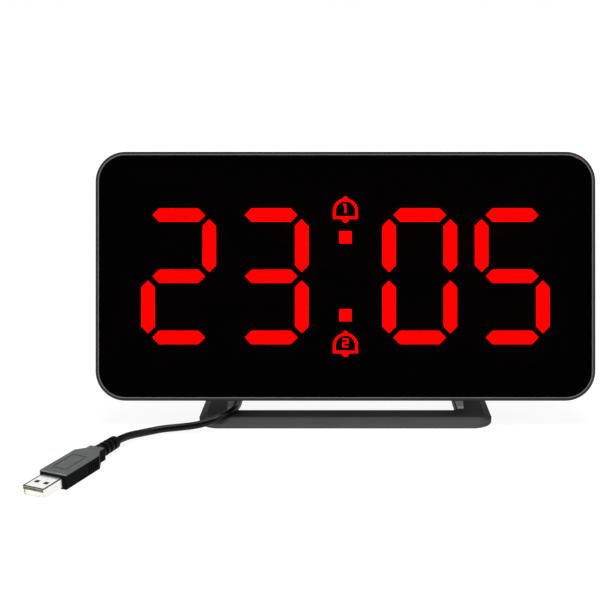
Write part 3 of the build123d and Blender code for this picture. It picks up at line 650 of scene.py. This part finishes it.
# white studio: a pale floor that keeps the shadow, and a world that is dark behind the camera
studio = {
    "floorHalf": 3.0,  # metres
    "floorColour": "#6b6b6b",  # the part of the floor that takes light and shadow
    "floorRoughness": 0.9,  # matt paper
    "white": (0.905, 1.0),  # what the white adds to it, by the clock and away from it
    "near": (0.2, 0.7),  # metres from the clock
    "ambient": 0.15,
    "darkRoom": 0.015,  # what gloss mirrors from the room in front of the face
    "roomEdge": (0.25, 0.8),  # cosine to the face's direction, where the dark starts and is full
}


def rayMask(tree, kinds):  # 1 for rays of those kinds
    path = addNode(tree, "LightPath")
    seen = (path, kinds[0])
    for kind in kinds[1:]:
        seen = (addNode(tree, "Math", {"operation": "MAXIMUM"}, {0: seen, 1: (path, kind)}), 0)
    return seen


def layFloor():
    bm = bmesh.new()
    bmesh.ops.create_grid(bm, x_segments=1, y_segments=1, size=studio["floorHalf"])
    mesh = bpy.data.meshes.new("floor")
    bm.to_mesh(mesh)
    bm.free()
    material, tree, shader, coords = newMaterial("paperFloor", Roughness=studio["floorRoughness"])
    shader.inputs["Base Color"].default_value = linear(studio["floorColour"])
    away = addNode(tree, "VectorMath", {"operation": "LENGTH"}, {0: (coords, "Object")})
    level = addNode(tree, "MapRange", None, {
        "Value": (away, "Value"), "From Min": studio["near"][0], "From Max": studio["near"][1],
        "To Min": studio["white"][0], "To Max": studio["white"][1],
    })
    looking = rayMask(tree, ["Is Camera Ray", "Is Glossy Ray", "Is Transmission Ray"])
    seen = addNode(tree, "Math", {"operation": "MULTIPLY"}, {0: looking, 1: (level, 0)})
    white = addNode(tree, "Emission", None, {"Color": linear("#ffffff"), "Strength": (seen, 0)})
    both = addNode(tree, "AddShader", None, {0: (shader, 0), 1: (white, 0)})
    tree.links.new(both.outputs[0], tree.nodes["Material Output"].inputs["Surface"])
    mesh.materials.append(material)
    floor = bpy.data.objects.new("floor", mesh)
    bpy.context.scene.collection.objects.link(floor)


def lightWorld():
    world = bpy.data.worlds.new("whiteStudio")
    bpy.context.scene.world = world
    world.use_nodes = True
    tree = world.node_tree
    background = tree.nodes["Background"]
    coords = addNode(tree, "TexCoord")
    toCamera = addNode(tree, "VectorMath", {"operation": "DOT_PRODUCT"}, {
        0: (coords, "Generated"), 1: faceOut,
    })
    room = addNode(tree, "MapRange", {"interpolation_type": "SMOOTHSTEP"}, {
        "Value": (toCamera, "Value"), "From Min": studio["roomEdge"][0],
        "From Max": studio["roomEdge"][1], "To Min": 1.0, "To Max": studio["darkRoom"],
    })
    mirrored = rayMask(tree, ["Is Glossy Ray", "Is Transmission Ray"])
    level = addNode(tree, "Mix", None, {0: mirrored, 2: studio["ambient"], 3: (room, "Result")})
    seen = addNode(tree, "Mix", None, {0: rayMask(tree, ["Is Camera Ray"]), 2: (level, 0), 3: 1.0})
    tree.links.new(seen.outputs[0], background.inputs["Strength"])
    background.inputs["Color"].default_value = linear("#ffffff")


def addSoftbox(name, place, aim, size, watts, glossy):
    data = bpy.data.lights.new(name, "AREA")
    data.shape = "RECTANGLE"
    data.size, data.size_y = size
    data.energy = watts
    lamp = bpy.data.objects.new(name, data)
    lamp.location = place
    lamp.rotation_euler = (Vector(aim) - Vector(place)).to_track_quat("-Z", "Y").to_euler()
    lamp.visible_glossy = glossy
    bpy.context.scene.collection.objects.link(lamp)


softboxes = {  # place, aim and size in metres, watts, seen in gloss
    "frontBox": ((0, -1.7, 0.08), (0, 0, 0.05), (2.6, 0.1), 26.0, False),
    "leftFrontBox": ((-1.3, -1.2, 0.12), (0, 0, 0.05), (0.8, 0.12), 14.0, False),
    "topBox": ((0, -0.06, 1.3), (0, -0.06, 0), (1.0, 0.35), 9.0, True),
    "rightBox": ((1.2, -0.25, 0.45), (0, 0, 0.03), (0.4, 0.6), 3.0, False),
    "leftBox": ((-1.2, -0.25, 0.45), (0, 0, 0.03), (0.4, 0.6), 2.0, False),
    "backBox": ((0, 1.6, 0.025), (0, 0, 0.07), (1.6, 0.04), 10.0, False),
}
layFloor()
lightWorld()
for name, box in softboxes.items():
    addSoftbox(name, *box)
bpy.context.scene.view_settings.view_transform = "Standard"
print("studio lit")
